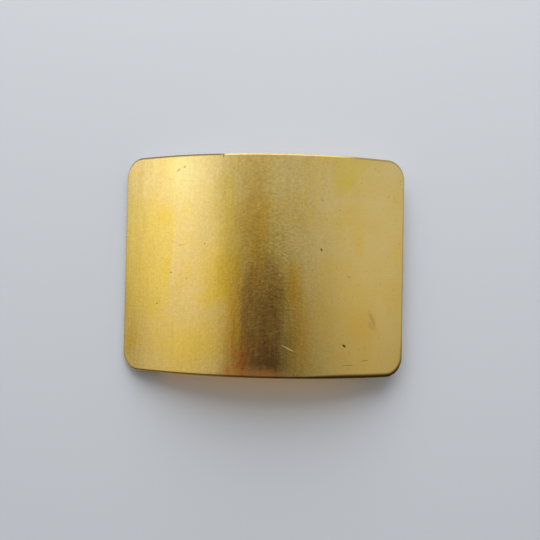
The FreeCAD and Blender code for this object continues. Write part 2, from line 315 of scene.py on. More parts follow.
def plate_brass():
    """Satin brass sheet, pitted and stained by handling in front, with a painted highlight, painted glints
    and painted shade on the rim; dull and heat-stained behind.
    """
    material, t = new_material("plate_brass")
    place = millimetres(t)
    x, y, z = t.split(place)
    across = combine(t, x, z)
    drift = t.vector("SUBTRACT", t.noise(across, 4.0, detail=4.0, output="Color"), (0.5, 0.5, 0.5))
    flat = t.vector("MULTIPLY_ADD", drift, (STAIN_WANDER, STAIN_WANDER, 0), across)
    nearly_flat = t.vector("MULTIPLY_ADD", drift, (CUT_WANDER, CUT_WANDER, 0), across)

    streak = t.noise(place, 0.8, detail=3.0, stretch=(1, 1, 12))
    speck = t.noise(place, 0.60, detail=3.0, stretch=(1.2, 1, 1), roughness=0.65)
    pit = t.noise(place, 0.75, roughness=0.55)
    cloud = t.noise(place, 9.0, detail=4.0)
    fleck = t.noise(place, 1.6, detail=4.0, stretch=(1, 1, 2.5))

    colour = t.mix(t.step(cloud, 0.3, 0.7), BRASS, BRASS_PALE)
    for tint, amount, centre, radii, turn, softness, cuts in STAINS_AND_HIGHLIGHT:
        spread = t.blob(flat, centre, radii, turn, softness)
        for through, facing, feather in cuts:
            spread = t.product(spread, t.cut(nearly_flat, through, facing, feather))
        colour = t.mix(t.product(spread, amount), colour, tint)
    tarnish = t.blob(nearly_flat, TARNISH_CENTRE, TARNISH_HALF, softness=0.75)
    colour = t.mix(t.product(tarnish, 0.9), colour, BRASS_RED)
    colour = t.mix(t.product(t.step(fleck, 0.5, 0.75), 0.30), colour, BRASS_YELLOW)
    # The finish is roughest down the middle, where hands rub, and smoothest on the right.
    handled = t.step(x, 24.0, 4.0, 0.16, 1.0)
    rubbed = t.product(handled, t.step(x, -14.0, -2.0, 0.60, 1.0))
    dirt = t.product(t.step(pit, 0.64, 0.76), t.step(x, -13.0, -2.0, 0.08, 0.38))
    colour = t.mix(dirt, colour, BRASS_DIRTY)
    # The speckle in the colour is pitting and uneven tone, and also painted glints, strongest down the
    # middle.
    grain_and_glints = t.sum(1.0, (t.math("SUBTRACT", speck, 0.5), t.product(rubbed, 0.70)))
    grain_and_glints = t.sum(grain_and_glints, (t.math("SUBTRACT", streak, 0.5), t.product(handled, 0.24)))
    # Short bright hairlines, where a smooth noise crosses its middle value
    winding = t.noise(place, 2.2, detail=1.0, stretch=(1.3, 1, 1))
    from_middle = t.math("ABSOLUTE", t.math("SUBTRACT", winding, 0.5))
    hairline = t.product(t.step(from_middle, 0.040, 0.012), t.step(t.noise(across, 1.9), 0.50, 0.58))
    hairline = t.product(hairline, t.product(rubbed, 0.50))
    colour = t.mix(hairline, scaled(t, colour, grain_and_glints), BRASS)

    rough = t.sum(0.24, (0.10, t.math("SUBTRACT", streak, 0.5)), (0.10, t.math("SUBTRACT", cloud, 0.5)))
    rough = t.sum(rough, (-0.05, t.step(x, 12.0, 22.0)), (0.17, tarnish))
    height = t.sum(t.product(streak, 0.25), (speck, t.product(rubbed, 1.5)), (-0.8, dirt))
    for centre, radii, turn, depth in MARKS:
        mark = t.blob(across, centre, radii, turn, 0.6)
        height = t.sum(height, (mark, -0.5 * depth))
        if depth > 0:
            colour = t.mix(t.product(mark, min(0.95, depth * 0.40)), colour, BRASS_SOOT_AND_SHADE)
        else:
            colour = t.mix(t.product(mark, min(1.0, -depth)), colour, BRASS_CREAM)
            rough = t.sum(rough, (mark, -0.2 * depth))
    # Painted shade and grime along the rolled rim
    colour = rim_grime_and_shade(t, colour, x, y, z)

    behind_face = t.math("SUBTRACT", BEND_RADIUS, axis_distance(t, x, y))
    back = t.step(behind_face, PLATE_THICKNESS - 0.35, PLATE_THICKNESS - 0.1)
    back_colour, back_rough, back_height = plate_back(t, place, flat, across)
    colour = t.mix(back, colour, back_colour)
    rough = mix_value(t, back, rough, back_rough)
    height = mix_value(t, back, height, back_height)
    normal = t.add("ShaderNodeNewGeometry", output="Normal")
    along_bend = t.vector("CROSS_PRODUCT", (0, 0, 1), normal)
    principled(t, colour, 1.0, rough, height, bump_mm=0.022, Anisotropic=0.5, Tangent=along_bend)
    return material


def rim_grime_and_shade(t, colour, x, y, z):
    """Grime and painted shade in the rolled edge, thickest along the lower right, and lighter at the top of
    the crown, where the edge shows its highlight.
    """
    along = t.product(t.math("ARCTAN2", x, t.math("SUBTRACT", AXIS_Y, y)), BEND_RADIUS)
    past_core = []
    for value, half in ((along, HALF_SHEET), (z, plate_high.z)):
        past = t.math("SUBTRACT", t.math("ABSOLUTE", value), half - CORNER_RADIUS)
        past_core.append(t.math("MAXIMUM", past, 0.0))
    rim = t.math("SUBTRACT", CORNER_RADIUS, t.length(combine(t, *past_core)))
    thick = t.product(t.step(x, 8.0, 22.0), t.step(z, -16.0, -25.0))
    clean_from = t.sum(0.75, (thick, 0.65))
    full_within = t.sum(0.30, (thick, 0.35))
    edge = t.step(rim, clean_from, full_within)
    below = t.step(z, -22.0, -26.0)
    above = t.step(z, 22.0, 26.0)
    lower_amount = t.step(x, -34.0, 10.0, -0.20, 0.34)
    upper_left_amount = t.step(x, -8.5, -10.5, -0.50, 0.35)
    upper_right_amount = t.step(x, 18.0, 25.0, 0.0, 0.65)
    amount = t.sum(0.65, (below, lower_amount), (above, upper_left_amount), (above, upper_right_amount))
    # The dark on the rim is painted shade, the dark the rounded edge mirrors, as well as grime.
    grime_and_shade = t.mix(t.sum(below, above), RIM_OLIVE, BRASS_SOOT_AND_SHADE)
    return t.mix(t.product(edge, amount), colour, grime_and_shade)


def scaled(tree, colour, factor):
    """A colour made lighter or darker by a factor."""
    return tree.add("ShaderNodeVectorMath", {0: colour, "Scale": factor}, operation="SCALE")


def combine(tree, x, y):
    """A flat position from two coordinates."""
    return tree.add("ShaderNodeCombineXYZ", {0: x, 1: y})


def axis_distance(tree, x, y):
    """Distance from the plate's bend axis."""
    return tree.length(tree.vector("SUBTRACT", combine(tree, x, y), (0, AXIS_Y, 0)))


def mix_value(tree, factor, first, second):
    """Blends two values."""
    inputs = {"Value": factor, "From Min": 0.0, "From Max": 1.0, "To Min": first, "To Max": second}
    return tree.add("ShaderNodeMapRange", inputs)


BACK_BRASS = (0.66, 0.46, 0.17)
BACK_DULL = (0.50, 0.35, 0.14)
HEAT_BROWN = (0.36, 0.17, 0.07)
HEAT_STRAW = (0.72, 0.42, 0.12)
FLUX = (0.50, 0.47, 0.34)

# Where the back was heated for soldering, in millimetres right and up of the middle: centre and half-widths
HEATED = (((20.0, 0.0), (13.0, 16.0)), ((-4.5, 15.0), (10.0, 10.5)), ((-4.5, -15.0), (10.0, 10.5)))
HEAT_RING = 1.22               # the brown ring's size over the straw patch inside it


def plate_back(t, place, flat, across):
    """Colour, roughness and height of the back: mill lines, oxide, and heat rings round the solder."""
    mill = t.noise(place, 0.35, detail=3.0, stretch=(1, 1, 30))
    patch = t.noise(place, 6.0, detail=5.0, roughness=0.6)
    colour = t.mix(t.step(patch, 0.35, 0.65), BACK_BRASS, BACK_DULL)
    rough = t.sum(0.36, (0.20, t.math("SUBTRACT", patch, 0.5)), (0.12, t.math("SUBTRACT", mill, 0.5)))
    for centre, radii in HEATED:
        ring = t.blob(flat, centre, tuple(radius * HEAT_RING for radius in radii), softness=0.35)
        inside = t.blob(flat, centre, radii, softness=0.30)
        colour = t.mix(t.product(ring, 0.75), colour, HEAT_BROWN)
        colour = t.mix(t.product(inside, 0.85), colour, HEAT_STRAW)
        burnt = t.product(t.step(t.noise(across, 2.2, detail=5.0), 0.54, 0.62), inside)
        colour = t.mix(t.product(burnt, 0.55), colour, FLUX)
        rough = t.sum(rough, (burnt, 0.15))
    scratch = t.step(t.noise(place, 0.5), 0.66, 0.75)
    colour = t.mix(t.product(scratch, 0.35), colour, BRASS_DIRTY)
    height = t.sum(t.product(mill, 0.7), (patch, 0.5), (scratch, -0.6))
    return colour, rough, height


STRIP_BRIGHT = (0.70, 0.50, 0.19)
STRIP_DULL = (0.50, 0.34, 0.12)
STRIP_RUBBED = (0.88, 0.66, 0.27)


def strip_brass():
    """Brass strip, drawn along its length, dulled, with bright rubbed edges and dark specks."""
    material, t = new_material("strip_brass")
    place = millimetres(t)
    drawn = t.noise(place, 0.22, detail=3.0, stretch=(26, 26, 1))
    patch = t.noise(place, 3.0, detail=5.0, roughness=0.6)
    speck = t.noise(place, 0.45, detail=3.0)
    colour = t.mix(t.step(patch, 0.35, 0.68), STRIP_BRIGHT, STRIP_DULL)
    colour = t.mix(t.product(t.step(patch, 0.56, 0.70), 0.6), colour, HEAT_BROWN)
    colour = t.mix(t.product(t.step(speck, 0.62, 0.76), 0.6), colour, BRASS_DIRTY)
    edge = t.step(t.add("ShaderNodeNewGeometry", output="Pointiness"), 0.51, 0.56)
    colour = t.mix(t.product(edge, 0.7), colour, STRIP_RUBBED)
    colour = scaled(t, colour, t.sum(0.85, (drawn, 0.30)))
    rough = t.sum(0.24, (patch, 0.22), (t.math("SUBTRACT", drawn, 0.5), 0.15), (edge, -0.10))
    height = t.sum(t.product(drawn, 0.8), (speck, 0.5))
    principled(t, colour, 1.0, rough, height, bump_mm=0.012)
    return material


RUST = (0.20, 0.085, 0.035)


def steel(name, stretch, bright, dull):
    """Steel under a dull nickel wash, worn through to rust-brown in small spots."""
    material, t = new_material(name)
    place = millimetres(t)
    drawn = t.noise(place, 0.16, detail=3.0, stretch=stretch)
    patch = t.noise(place, 2.6, detail=5.0, roughness=0.62)
    speck = t.noise(place, 0.6, detail=4.0, roughness=0.6)
    colour = t.mix(t.step(patch, 0.38, 0.66), bright, dull)
    rust = t.product(t.step(speck, 0.60, 0.72), t.step(patch, 0.46, 0.58))
    colour = t.mix(t.product(rust, 0.8), colour, RUST)
    colour = scaled(t, colour, t.sum(0.85, (drawn, 0.30)))
    rough = t.sum(0.20, (patch, 0.22), (t.math("SUBTRACT", drawn, 0.5), 0.16), (rust, 0.30))
    metallic = t.sum(1.0, (rust, -0.7))
    height = t.sum(t.product(drawn, 0.8), (speck, 0.35), (rust, 0.5))
    principled(t, colour, metallic, rough, height, bump_mm=0.010)
    return material


SOLDER_DULL = (0.30, 0.30, 0.29)
SOLDER_BRIGHT = (0.60, 0.60, 0.58)
FLUX_BROWN = (0.24, 0.15, 0.06)


def solder_grey():
    """Soft solder: wrinkled dull grey, bright on its crests, with brown flux left in its toe."""
    material, t = new_material("solder")
    place = millimetres(t)
    x, y, z = t.split(place)
    wrinkle = t.noise(place, 0.9, detail=5.0, roughness=0.62)
    grain = t.noise(place, 0.22)
    colour = t.mix(t.step(wrinkle, 0.36, 0.64), SOLDER_DULL, SOLDER_BRIGHT)
    uneven = t.sum(axis_distance(t, x, y), (wrinkle, 0.35))
    toe = t.step(uneven, INNER_RADIUS - 0.15, INNER_RADIUS + 0.12)
    colour = t.mix(t.product(toe, 0.8), colour, FLUX_BROWN)
    rough = t.sum(0.28, (wrinkle, 0.30), (toe, 0.12))
    height = t.sum(wrinkle, (grain, 0.25))
    principled(t, colour, 0.9, rough, height, bump_mm=0.10)
    return material


TABLE_PALE = (0.556, 0.574, 0.590)


def table_top():
    """Pale board, seen only from its face side, so that the back of the buckle shows from behind."""
    material, t = new_material("table_top")
    board = t.add("ShaderNodeBsdfDiffuse", {"Color": (*TABLE_PALE, 1)})
    clear = t.add("ShaderNodeBsdfTransparent")
    behind = t.add("ShaderNodeNewGeometry", output="Backfacing")
    surface = t.add("ShaderNodeMixShader", {0: behind, 1: board, 2: clear})
    t.add("ShaderNodeOutputMaterial", {"Surface": surface})
    return material


# ---------------------------------------------------------------- meshes


def mesh_object(name, points, faces, material, smooth=True):
    """An object from points in millimetres; doubled points are joined and faces turned outwards."""
    mesh = bpy.data.meshes.new(name)
    mesh.from_pydata((np.asarray(points, float) * MM).tolist(), [], faces)
    work = bmesh.new()
    work.from_mesh(mesh)
    bmesh.ops.remove_doubles(work, verts=work.verts, dist=1e-6)
    bmesh.ops.recalc_face_normals(work, faces=work.faces)
    work.to_mesh(mesh)
    work.free()
    mesh.polygons.foreach_set("use_smooth", [smooth] * len(mesh.polygons))
    mesh.materials.append(material)
    made = bpy.data.objects.new(name, mesh)
    bpy.context.scene.collection.objects.link(made)
    return made


def stand_in(piece, node, body):
    """The piece moves with a body and stands for a CAD node, which it hides."""
    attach(piece, body)
    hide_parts(node)


def rounded_loop(inset, half_s, half_z, corner, counts):
    """Points round a rounded rectangle, an inset in from its outline.

    The counts are of points on the sides along s, on the sides along z and on each corner.
    """
    count_s, count_z, count_arc = counts
    core_s, core_z = half_s - corner, half_z - corner
    radius = corner - inset
    sides = (
        ((core_s, -core_z), (0, 1), count_z, 2 * core_z, 0),
        ((core_s, core_z), (-1, 0), count_s, 2 * core_s, 90),
        ((-core_s, core_z), (0, -1), count_z, 2 * core_z, 180),
        ((-core_s, -core_z), (1, 0), count_s, 2 * core_s, 270),
    )
    points = []
    for (start_s, start_z), (way_s, way_z), count, length, angle in sides:
        out_s, out_z = math.cos(math.radians(angle)), math.sin(math.radians(angle))
        for i in range(count):
            run = length * i / count
            points.append((start_s + way_s * run + out_s * radius, start_z + way_z * run + out_z * radius))
        end_s, end_z = start_s + way_s * length, start_z + way_z * length
        for i in range(count_arc):
            turn = math.radians(angle + 90 * i / count_arc)
            points.append((end_s + radius * math.cos(turn), end_z + radius * math.sin(turn)))
    return np.array(points)


def loop_faces(loops, around, closed=False):
    """Quads between loops of points in a row; a closed row also joins the last loop to the first."""
    faces = []
    for k in range(loops if closed else loops - 1):
        first, second = k * around, (k + 1) % loops * around
        for i in range(around):
            j = (i + 1) % around
            faces.append((first + i, first + j, second + j, second + i))
    return faces


def on_bend(radius, angle):
    """The point at a radius from the plate's bend axis, at an angle from the crown."""
    return np.array([radius * np.sin(angle), AXIS_Y - radius * np.cos(angle)])


# ---- face plate

PLATE_CELL = 0.3               # the size of its mesh cells
PLATE_CORNER_POINTS = 14
FRONT_ROUND_RINGS = 9
BACK_ROUND_RINGS = 4
BACK_FLAT_RINGS = 7

# Waviness of the rolled sheet: its wave lengths and their height as a share of them
WAVES = 14
WAVE_LENGTHS = (8, 26)
WAVE_TURN = 0.5                # how far the waves turn from the roller's line, in radians
WAVE_SHARE = 0.00035
WAVE_SEED = 11


def sheet_mesh(cell):
    """The plate as (developed s, z, depth behind the front surface) points and faces."""
    half_s, half_z = HALF_SHEET, plate_high.z
    core_s, core_z = half_s - CORNER_RADIUS, half_z - CORNER_RADIUS
    counts = (round(2 * core_s / cell), round(2 * core_z / cell), PLATE_CORNER_POINTS)
    flat_rings = round((CORNER_RADIUS - FRONT_ROUND) / cell) + 1
    rings = [(inset, 0.0) for inset in np.linspace(CORNER_RADIUS, FRONT_ROUND, flat_rings)]
    for turn in np.linspace(0, math.pi / 2, FRONT_ROUND_RINGS)[1:]:
        rings.append((FRONT_ROUND * (1 - math.sin(turn)), FRONT_ROUND * (1 - math.cos(turn))))
    for turn in np.linspace(0, math.pi / 2, BACK_ROUND_RINGS):
        depth = PLATE_THICKNESS - BACK_ROUND * (1 - math.sin(turn))
        rings.append((BACK_ROUND * (1 - math.cos(turn)), depth))
    for inset in np.linspace(BACK_ROUND, CORNER_RADIUS, BACK_FLAT_RINGS)[1:]:
        rings.append((inset, PLATE_THICKNESS))

    points = []
    for inset, depth in rings:
        outline = rounded_loop(inset, half_s, half_z, CORNER_RADIUS, counts)
        points.append(np.column_stack([outline, np.full(len(outline), depth)]))
    faces = loop_faces(len(rings), len(points[0]))
    base = len(rings) * len(points[0])
    row = counts[0] + 1
    for depth in (0.0, PLATE_THICKNESS):
        columns = np.linspace(-core_s, core_s, counts[0] + 1)
        rows = np.linspace(-core_z, core_z, counts[1] + 1)
        grid_s, grid_z = np.meshgrid(columns, rows)
        points.append(np.column_stack([grid_s.ravel(), grid_z.ravel(), np.full(grid_s.size, depth)]))
        for i in range(counts[1]):
            for j in range(counts[0]):
                corner = base + i * row + j
                faces.append((corner, corner + 1, corner + row + 1, corner + row))
        base += grid_s.size
    return np.vstack(points), faces


def relief(s, z):
    """Waviness the rolling leaves in the sheet, as depth."""
    rng = np.random.default_rng(WAVE_SEED)
    depth = np.zeros_like(s)
    for _ in range(WAVES):
        length = rng.uniform(*WAVE_LENGTHS)
        turn = rng.uniform(-WAVE_TURN, WAVE_TURN)
        phase = rng.uniform(0, 2 * math.pi)
        along = s * math.cos(turn) + z * math.sin(turn)
        depth += WAVE_SHARE * length * np.sin(2 * math.pi * along / length + phase)
    return depth


def make_plate():
    points, faces = sheet_mesh(PLATE_CELL)
    s, z, depth = points.T
    x, y = on_bend(BEND_RADIUS - depth - relief(s, z), s / BEND_RADIUS)
    plate = mesh_object("plate", np.column_stack([x, y, z]), faces, plate_brass())
    stand_in(plate, "face_plate", "plate")


# ---- strips

HOOK_EDGE = 0.22               # rounding of the strips' edges
NARROW_EDGE = 0.2
NARROW_SPACING = 0.2           # of the mesh loops along the ears and the prong
END_LOOPS = 6                  # loops in the rounding of an end, and points in that of an edge
ACROSS = 10                    # mesh cells across a strip
LEAST_HALF = 0.15              # half-width kept at the very end of a strip
ROUNDEST = 0.98                # the largest rounding as a share of the half-thickness
PRONG_STEEL = ((0.56, 0.54, 0.50), (0.36, 0.34, 0.31))     # where bright and where dull


def arc(centre, radius, start, end, spacing=0.05):
    """Points along an arc in the XY plane; the angles are in radians, counter-clockwise from +X."""
    turns = np.linspace(start, end, max(2, round(abs(end - start) * radius / spacing)))
    return np.column_stack([centre[0] + radius * np.cos(turns), centre[1] + radius * np.sin(turns)])


def straight(start, end, spacing=0.05):
    """Points along a straight line."""
    share = np.linspace(0, 1, max(2, round(math.dist(start, end) / spacing)))[:, None]
    return np.asarray(start) + share * (np.asarray(end) - np.asarray(start))


def joined(*pieces):
    """One path from several that meet end to end."""
    return np.vstack([pieces[0]] + [piece[1:] for piece in pieces[1:]])


def corner_inset(run, radius):
    """How far a rounded corner draws a side in, at a run from the end."""
    short = np.clip(radius - run, 0, radius)
    return radius - np.sqrt(radius ** 2 - short ** 2)


def formed_strip(name, path, half_width, half_thickness, edge, material, spacing=0.35):
    """A strip bent along a path in the XY plane, with all its edges rounded.

    half_width and half_thickness are functions of the run along the path and of the run left to its end.
    """
    steps = np.linalg.norm(np.diff(path, axis=0), axis=1)
    run_of_path = np.concatenate([[0], np.cumsum(steps)])
    length = run_of_path[-1]
    ends = edge * (1 - np.cos(np.linspace(0, math.pi / 2, END_LOOPS)))
    middle = np.linspace(edge, length - edge, round(length / spacing))
    runs = np.unique(np.concatenate([ends, middle, length - ends]).round(6))
    tangent = np.gradient(path, run_of_path, axis=0)
    at = np.column_stack([np.interp(runs, run_of_path, path[:, k]) for k in range(2)])
    way = np.column_stack([np.interp(runs, run_of_path, tangent[:, k]) for k in range(2)])
    way /= np.linalg.norm(way, axis=1)[:, None]
    left = length - runs
    end_inset = corner_inset(runs, edge) + corner_inset(left, edge)
    widths = np.maximum(half_width(runs, left) - end_inset, LEAST_HALF)
    thicknesses = half_thickness(runs, left) - end_inset

    corners = ((1, 1, 0), (-1, 1, 90), (-1, -1, 180), (1, -1, 270))
    points = []
    for (x, y), (way_x, way_y), width, thickness in zip(at, way, widths, thicknesses):
        radius = min(edge, thickness * ROUNDEST, width * ROUNDEST)
        loop = []
        for side_z, side_n, start in corners:
            corner_z, corner_n = side_z * (width - radius), side_n * (thickness - radius)
            for turn in np.radians(np.linspace(start, start + 90, END_LOOPS)):
                loop.append((corner_z + radius * math.cos(turn), corner_n + radius * math.sin(turn)))
            if side_z == side_n:
                flat = np.linspace(side_z, -side_z, ACROSS + 1)[1:-1] * (width - radius)
                loop.extend((z, side_n * thickness) for z in flat)
        for z, out in loop:
            points.append((x - way_y * out, y + way_x * out, z))
    around = len(points) // len(runs)
    faces = loop_faces(len(runs), around)
    faces.append(tuple(range(around)))
    faces.append(tuple(range((len(runs) - 1) * around, len(runs) * around)))
    return mesh_object(name, points, faces, material)


def make_hook(brass):
    fold_centre = on_bend(hook_middle - HOOK_FOLD_RADIUS, hook_fold_angle)
    foot = arc((0, AXIS_Y), hook_middle, hook_start_angle - math.pi / 2, hook_fold_angle - math.pi / 2)
    fold = arc(fold_centre, HOOK_FOLD_RADIUS, hook_fold_angle - math.pi / 2, math.pi / 2)
    tongue_y = fold_centre[1] + HOOK_FOLD_RADIUS
    tongue = straight((fold_centre[0], tongue_y), (hook_low.x, tongue_y))
    foot_length = hook_middle * (hook_fold_angle - hook_start_angle)
    tongue_length = fold_centre[0] - hook_low.x
    foot_half = hook_high.z

    def half_width(run, left):
        foot_end = foot_length - run
        near_fold = np.maximum(foot_end, 0)
        foot_plan = foot_half - corner_inset(run, HOOK_CORNER) - corner_inset(near_fold, HOOK_CORNER)
        foot_plan = np.maximum(foot_plan, HOOK_TONGUE_HALF * (run > HOOK_CORNER))
        share = np.clip(left / tongue_length, 0, 1)
        tongue_plan = HOOK_TIP_HALF + (HOOK_TONGUE_HALF - HOOK_TIP_HALF) * share
        tongue_plan = tongue_plan - corner_inset(left, HOOK_CORNER)
        return np.where(foot_end > 0, foot_plan, tongue_plan)

    def half_thickness(run, left):
        return np.full_like(run, HOOK_THICKNESS / 2)

    path = joined(foot, fold, tongue)
    hook = formed_strip("hook_strip", path, half_width, half_thickness, HOOK_EDGE, brass)
    stand_in(hook, "hook", "plate")


def make_ear(name, node, centre_z, brass):
    start = ear_angle - math.pi / 2
    foot = arc((0, AXIS_Y), ear_middle, ear_end_angle - math.pi / 2, start)
    roll = arc(hinge, KNUCKLE_RADIUS + EAR_THICKNESS / 2, start, start - math.radians(EAR_WRAP_DEG))

    def half_width(run, left):
        return ear_half - corner_inset(run, EAR_CORNER)

    def half_thickness(run, left):
        return np.full_like(run, EAR_THICKNESS / 2)

    path = joined(foot, roll)
    ear = formed_strip(name, path, half_width, half_thickness, NARROW_EDGE, brass, NARROW_SPACING)
    ear.data.transform(Matrix.Translation((0, 0, centre_z * MM)))
    stand_in(ear, node, "plate")


def behind_plate(points):
    """Moves points from the hinge's own axes: the folded frame lies along X, and +Y is off the plate."""
    along, away = math.cos(frame_lean), math.sin(frame_lean)
    turn = np.array([[along, -away], [away, along]])
    moved = np.array(points, float)
    moved[:, :2] = moved[:, :2] @ turn.T + hinge
    return moved


def make_prong():
    seat_y = WIRE_RADIUS - SEAT_DEPTH + SEAT_CLEARANCE
    slope = (KNUCKLE_RADIUS - seat_y) / (frame_length + WIRE_RADIUS)
    root_half = prong_high.z
    tip_run = (hinge_x - prong_low.x) / math.cos(frame_lean)
    tip_y = KNUCKLE_RADIUS - slope * tip_run + PRONG_TIP_THICKNESS / 2
    root_y = KNUCKLE_RADIUS + PRONG_THICKNESS / 2
    blade = straight((-tip_run, tip_y), (0, root_y))
    knuckle = arc((0, 0), root_y, math.pi / 2, math.pi / 2 - math.radians(PRONG_WRAP_DEG))
    blade_length = math.hypot(tip_run, root_y - tip_y)
    taper_end = blade_length - PRONG_TAPER_START

    def half_width(run, left):
        share = np.clip((run - PRONG_TIP_HALF) / (taper_end - PRONG_TIP_HALF), 0, 1)
        return PRONG_TIP_HALF + (root_half - PRONG_TIP_HALF) * share - corner_inset(run, PRONG_TIP_HALF)

    def half_thickness(run, left):
        share = np.clip(run / blade_length, 0, 1)
        return (PRONG_TIP_THICKNESS + (PRONG_THICKNESS - PRONG_TIP_THICKNESS) * share) / 2

    path = behind_plate(joined(blade, knuckle))
    metal = steel("prong_steel", (22, 22, 1), *PRONG_STEEL)
    prong = formed_strip(
        "prong_strip", path, half_width, half_thickness, NARROW_EDGE, metal, NARROW_SPACING
    )
    stand_in(prong, "prong", "prong")


# ---- wire frame

WIRE_AROUND = 36               # points round the wire
WIRE_SPACING = 0.2             # of the loops along it
WIRE_BEND_LOOPS = 32
JOINT_HALF = 0.16              # half-width and depth of the groove where its ends meet
SEAT_FULL = 0.5                # how far inside the flat's half-length its full depth ends
SEAT_BLEND = 0.7               # length over which the flat runs out
SEAT_SPREAD = 0.10             # how much wider pressing makes the wire
ON_BAR = 0.1                   # how near its line counts as on a bar
WIRE_STEEL = ((0.60, 0.58, 0.54), (0.40, 0.38, 0.35))      # where bright and where dull


def wire_path():
    """The wire's middle as (point, heading), from the middle of the hinge bar all the way round."""
    half_z = frame_high.z - WIRE_RADIUS
    side = half_z - FRAME_CORNER
    top = frame_length - 2 * FRAME_CORNER
    at = np.zeros(3)
    heading = math.pi / 2
    path = []
    for length, bends in ((side, True), (top, True), (2 * side, True), (top, True), (side, False)):
        for share in np.linspace(0, 1, round(length / WIRE_SPACING), endpoint=False):
            path.append((at + way_of(heading) * length * share, heading))
        at = at + way_of(heading) * length
        if bends:
            centre = at + way_of(heading + math.pi / 2) * FRAME_CORNER
            for turn in np.linspace(0, math.pi / 2, WIRE_BEND_LOOPS, endpoint=False):
                path.append((centre + FRAME_CORNER * way_of(heading - math.pi / 2 + turn), heading + turn))
            heading += math.pi / 2
            at = centre + FRAME_CORNER * way_of(heading - math.pi / 2)
    return path


def way_of(heading):
    """The unit vector of a heading in the plane of the frame."""
    return np.array([math.cos(heading), 0, math.sin(heading)])


def make_wire_frame():
    """Drawn wire bent round a rectangle, with a flat for the prong; its ends meet on the hinge bar."""
    turns = np.linspace(0, 2 * math.pi, WIRE_AROUND, endpoint=False)
    path = wire_path()
    points = []
    for centre, heading in path:
        on_hinge_bar = centre[0] > -ON_BAR
        on_outer_bar = centre[0] < ON_BAR - frame_length
        gap = math.exp(-(((centre[2] - WIRE_JOINT_Z) / JOINT_HALF) ** 2)) if on_hinge_bar else 0.0
        radius = WIRE_RADIUS - JOINT_HALF * gap
        outwards = np.cos(turns)[:, None] * way_of(heading - math.pi / 2)
        loop = centre + radius * (outwards + np.sin(turns)[:, None] * np.array([0, 1, 0]))
        if on_outer_bar:
            pressed = 1 - min(1.0, max(0.0, (abs(centre[2]) - SEAT_HALF + SEAT_FULL) / SEAT_BLEND))
            pressed = pressed * pressed * (3 - 2 * pressed)
            high = np.maximum(loop[:, 1] - (WIRE_RADIUS - SEAT_DEPTH), 0)
            loop[:, 0] += (loop[:, 0] - centre[0]) * SEAT_SPREAD * pressed * (loop[:, 1] > 0)
            loop[:, 1] -= high * pressed
        points.append(loop)
    metal = steel("steel_wire", (1, 1, 40), *WIRE_STEEL)
    faces = loop_faces(len(path), WIRE_AROUND, True)
    wire = mesh_object("frame_wire", behind_plate(np.vstack(points)), faces, metal)
    stand_in(wire, "belt_frame", "frame")


# ---- solder

BEAD_COUNTS = (56, 44, 14)     # points on its sides along s and z, and on each corner
BEAD_WAVES = 14
BEAD_WAVE_FALL = 0.7           # the power by which the shorter waves are smaller
BEAD_REACH = (1.05, 0.17)      # how far it spreads from the foot, and its first wave
BEAD_REACH_LIMITS = (0.45, 1.7)
BEAD_CREST = (0.72, 0.08)      # how high it stands at the foot, and its first wave
BEAD_CREST_LIMITS = (0.35, 1.0)
BEAD_UNDER_FOOT = 0.35         # how far it runs in under the foot
BEAD_HOLLOW = 0.92             # shares of the crest in the hollow slope and in the rounded toe
BEAD_TOE = 0.10
BEAD_SLOPE_POINTS = 12


def bead_profile():
    """The bead's section from under the foot out to its toe, as shares of its reach and its crest."""
    profile = [(-BEAD_UNDER_FOOT, 0.0), (-BEAD_UNDER_FOOT, 0.9), (-0.1, 1.0)]
    for out in np.linspace(0, 1, BEAD_SLOPE_POINTS):
        profile.append((out, BEAD_HOLLOW * (1 - out) ** 2 + BEAD_TOE * math.sqrt(1 - out * out)))
    profile.append((0.97, -0.02))
    return profile


def make_bead(name, node, seed, start_angle, end_angle, half_z, centre_z, corner, material):
    """The solder round a foot: a hollow-faced bead with an uneven toe."""
    rng = np.random.default_rng(seed)
    half_s = (end_angle - start_angle) / 2 * INNER_RADIUS
    middle_s = (end_angle + start_angle) / 2 * INNER_RADIUS
    outline = rounded_loop(0, half_s, half_z, corner, BEAD_COUNTS)
    outwards = rounded_loop(-1, half_s, half_z, corner, BEAD_COUNTS) - outline
    around = len(outline)
    share = np.arange(around) / around
    reach = np.full(around, BEAD_REACH[0])
    crest = np.full(around, BEAD_CREST[0])
    for wave in range(1, BEAD_WAVES + 1):
        size = 1 / wave ** BEAD_WAVE_FALL
        reach += BEAD_REACH[1] * size * np.sin(2 * math.pi * (wave * share + rng.random()))
        crest += BEAD_CREST[1] * size * np.sin(2 * math.pi * (wave * share + rng.random()))
    reach = np.clip(reach, *BEAD_REACH_LIMITS)
    crest = np.clip(crest, *BEAD_CREST_LIMITS)
    profile = bead_profile()
    points = []
    for out, up in profile:
        distance = out * reach if out > 0 else np.full(around, out)
        s, z = (outline + distance[:, None] * outwards).T
        height = np.maximum(up * crest, 0.0)
        x, y = on_bend(INNER_RADIUS - height, (s + middle_s) / INNER_RADIUS)
        points.append(np.column_stack([x, y, z + centre_z]))
    bead = mesh_object(name, np.vstack(points), loop_faces(len(profile), around, True), material)
    stand_in(bead, node, "plate")


# ---------------------------------------------------------------- stage


TABLE_SIZE = 900.0
BACKDROP = (0.60, 0.63, 0.67)  # what the camera sees past the table


